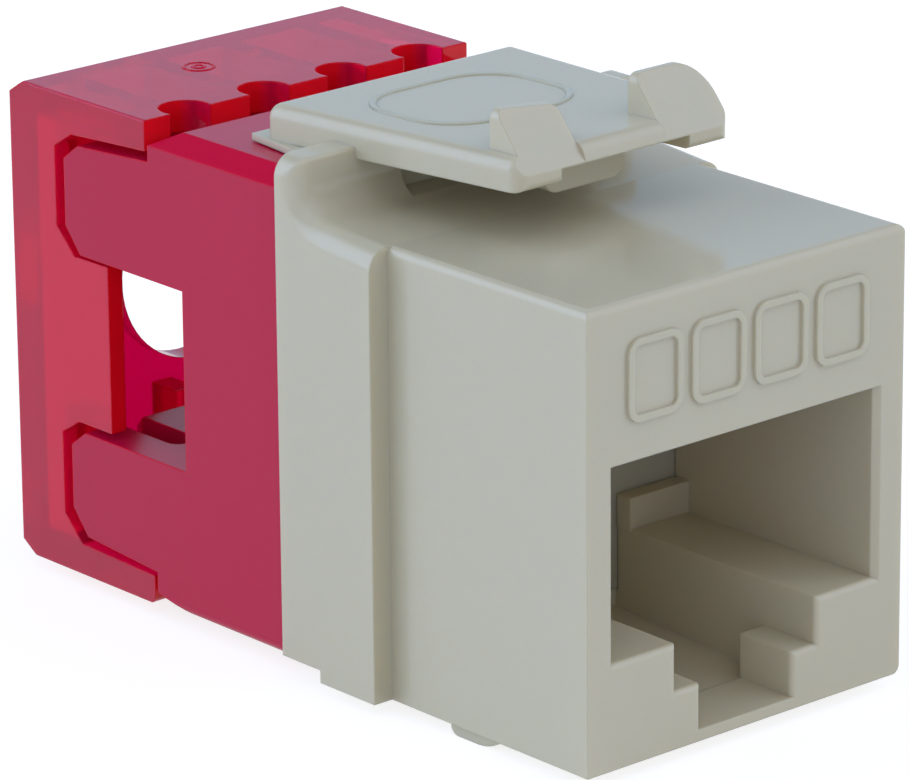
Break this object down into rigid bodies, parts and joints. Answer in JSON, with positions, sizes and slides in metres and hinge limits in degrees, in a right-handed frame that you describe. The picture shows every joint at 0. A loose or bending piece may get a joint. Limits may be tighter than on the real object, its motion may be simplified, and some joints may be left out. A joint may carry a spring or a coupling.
{
  "type": "keystone jack",
  "caption": "Snap-in keystone jack with an 8P8C socket, panel latch, translucent red IDC block and a pull-off rear cap.",
  "frame": {"origin": "under the middle of the whole jack, at the level of the fixed catch's underside", "axes": "-Y out of the plug socket, +Y out of the cable entry, +Z towards the latch arm"},
  "size_m": [0.0162, 0.0302, 0.0213],
  "materials": {
    "grey_abs": "fine satin moulding",
    "red_polycarbonate": "glossy, translucent",
    "white_nylon": "satin moulding",
    "gold_plate": "bright plated",
    "tin_plate": "matte tin",
    "board_green": "solder mask"
  },
  "bodies": {
    "jack": {"front_housing": "grey_abs", "contact_carrier": "white_nylon", "circuit_board": "board_green", "idc_housing": "red_polycarbonate", "contact_1": "gold_plate", "contact_2": "gold_plate", "contact_3": "gold_plate", "contact_4": "gold_plate", "contact_5": "gold_plate", "contact_6": "gold_plate", "contact_7": "gold_plate", "contact_8": "gold_plate", "idc_terminal_1": "tin_plate", "idc_terminal_2": "tin_plate", "idc_terminal_3": "tin_plate", "idc_terminal_4": "tin_plate", "idc_terminal_5": "tin_plate", "idc_terminal_6": "tin_plate", "idc_terminal_7": "tin_plate", "idc_terminal_8": "tin_plate"},
    "cap": {"rear_cap": "red_polycarbonate"}
  },
  "joints": [
    {"name": "cap_slide", "type": "slide", "parent": "jack", "child": "cap", "axis": [0, 1, 0], "range_m": [0, 0.012]}
  ]
}
